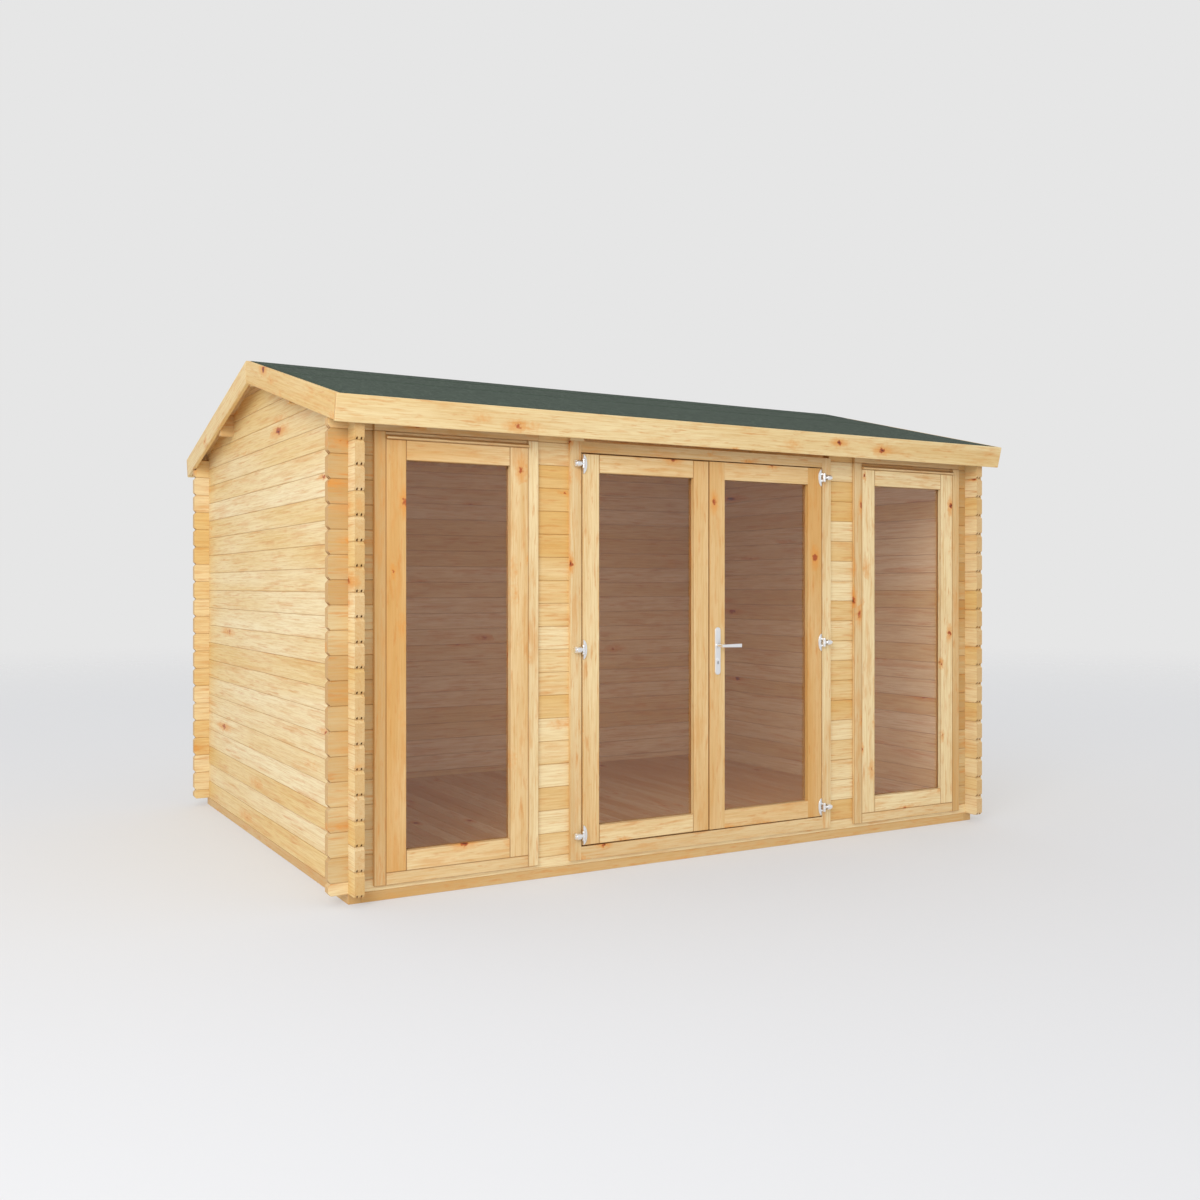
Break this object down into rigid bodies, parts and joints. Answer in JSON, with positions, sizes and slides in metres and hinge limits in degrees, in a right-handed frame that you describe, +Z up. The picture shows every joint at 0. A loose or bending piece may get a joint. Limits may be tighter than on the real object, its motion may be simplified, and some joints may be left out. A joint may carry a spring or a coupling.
{
  "type": "log cabin",
  "caption": "Garden log cabin of notched interlocking logs with a felted gable roof, fixed full-height windows and glazed double doors.",
  "frame": {"origin": "centre of the roof's footprint, on the ground", "axes": "+X to the right along the front, +Y from the front to the back, +Z up"},
  "size_m": [4.02, 3.12, 2.5972],
  "materials": {
    "logs": "varnished pale pine",
    "bearer_wood": "planed pine",
    "floor_boards": "planed pine boards",
    "roof_wood": "planed pine",
    "trim_wood": "varnished pale pine",
    "frame_wood": "varnished pale pine",
    "felt": "mineral-surfaced roofing felt",
    "glass": "clear bronze tint",
    "steel": "satin"
  },
  "bodies": {
    "cabin": {"bearers": "bearer_wood", "floor_joists": "bearer_wood", "floor": "floor_boards", "left_wall": "logs", "left_gable": "logs", "right_wall": "logs", "right_gable": "logs", "back_wall": "logs", "front_bottom_log": "logs", "front_left_end": "logs", "front_left_pier": "logs", "front_right_pier": "logs", "front_right_end": "logs", "front_head_logs": "logs", "ridge_purlin": "roof_wood", "side_purlins": "roof_wood", "front_roof_boards": "roof_wood", "back_roof_boards": "roof_wood", "roof_felt": "felt", "left_bargeboards": "trim_wood", "right_bargeboards": "trim_wood", "front_fascia": "trim_wood", "back_fascia": "trim_wood", "left_window_frame": "frame_wood", "right_window_frame": "frame_wood", "left_window_sash": "frame_wood", "right_window_sash": "frame_wood", "left_window_glass": "glass", "right_window_glass": "glass", "window_beads": "frame_wood", "window_drip_bars": "frame_wood", "door_frame": "frame_wood", "jamb_hinges": "steel"},
    "left_door": {"left_door_leaf": "frame_wood", "left_door_glass": "glass", "left_door_beads": "frame_wood", "left_leaf_hinges": "steel"},
    "right_door": {"right_door_leaf": "frame_wood", "right_door_glass": "glass", "right_door_beads": "frame_wood", "right_leaf_hinges": "steel", "handle_plates": "steel", "lock_cylinder": "steel"},
    "door_lever": {"door_lever": "steel"}
  },
  "joints": [
    {"name": "left_door_hinge", "type": "hinge", "parent": "cabin", "child": "left_door", "pos_m": [-0.751, -1.448, 1.0855], "axis": [0, 0, -1], "range_deg": [0, 165]},
    {"name": "right_door_hinge", "type": "hinge", "parent": "cabin", "child": "right_door", "pos_m": [0.751, -1.448, 1.0855], "axis": [0, 0, 1], "range_deg": [0, 165]},
    {"name": "lever_turn", "type": "hinge", "parent": "right_door", "child": "door_lever", "pos_m": [0.0505, -1.428, 1.085], "axis": [0, 1, 0], "range_deg": [0, 40], "stiffness_Nm_per_rad": 1.2}
  ]
}
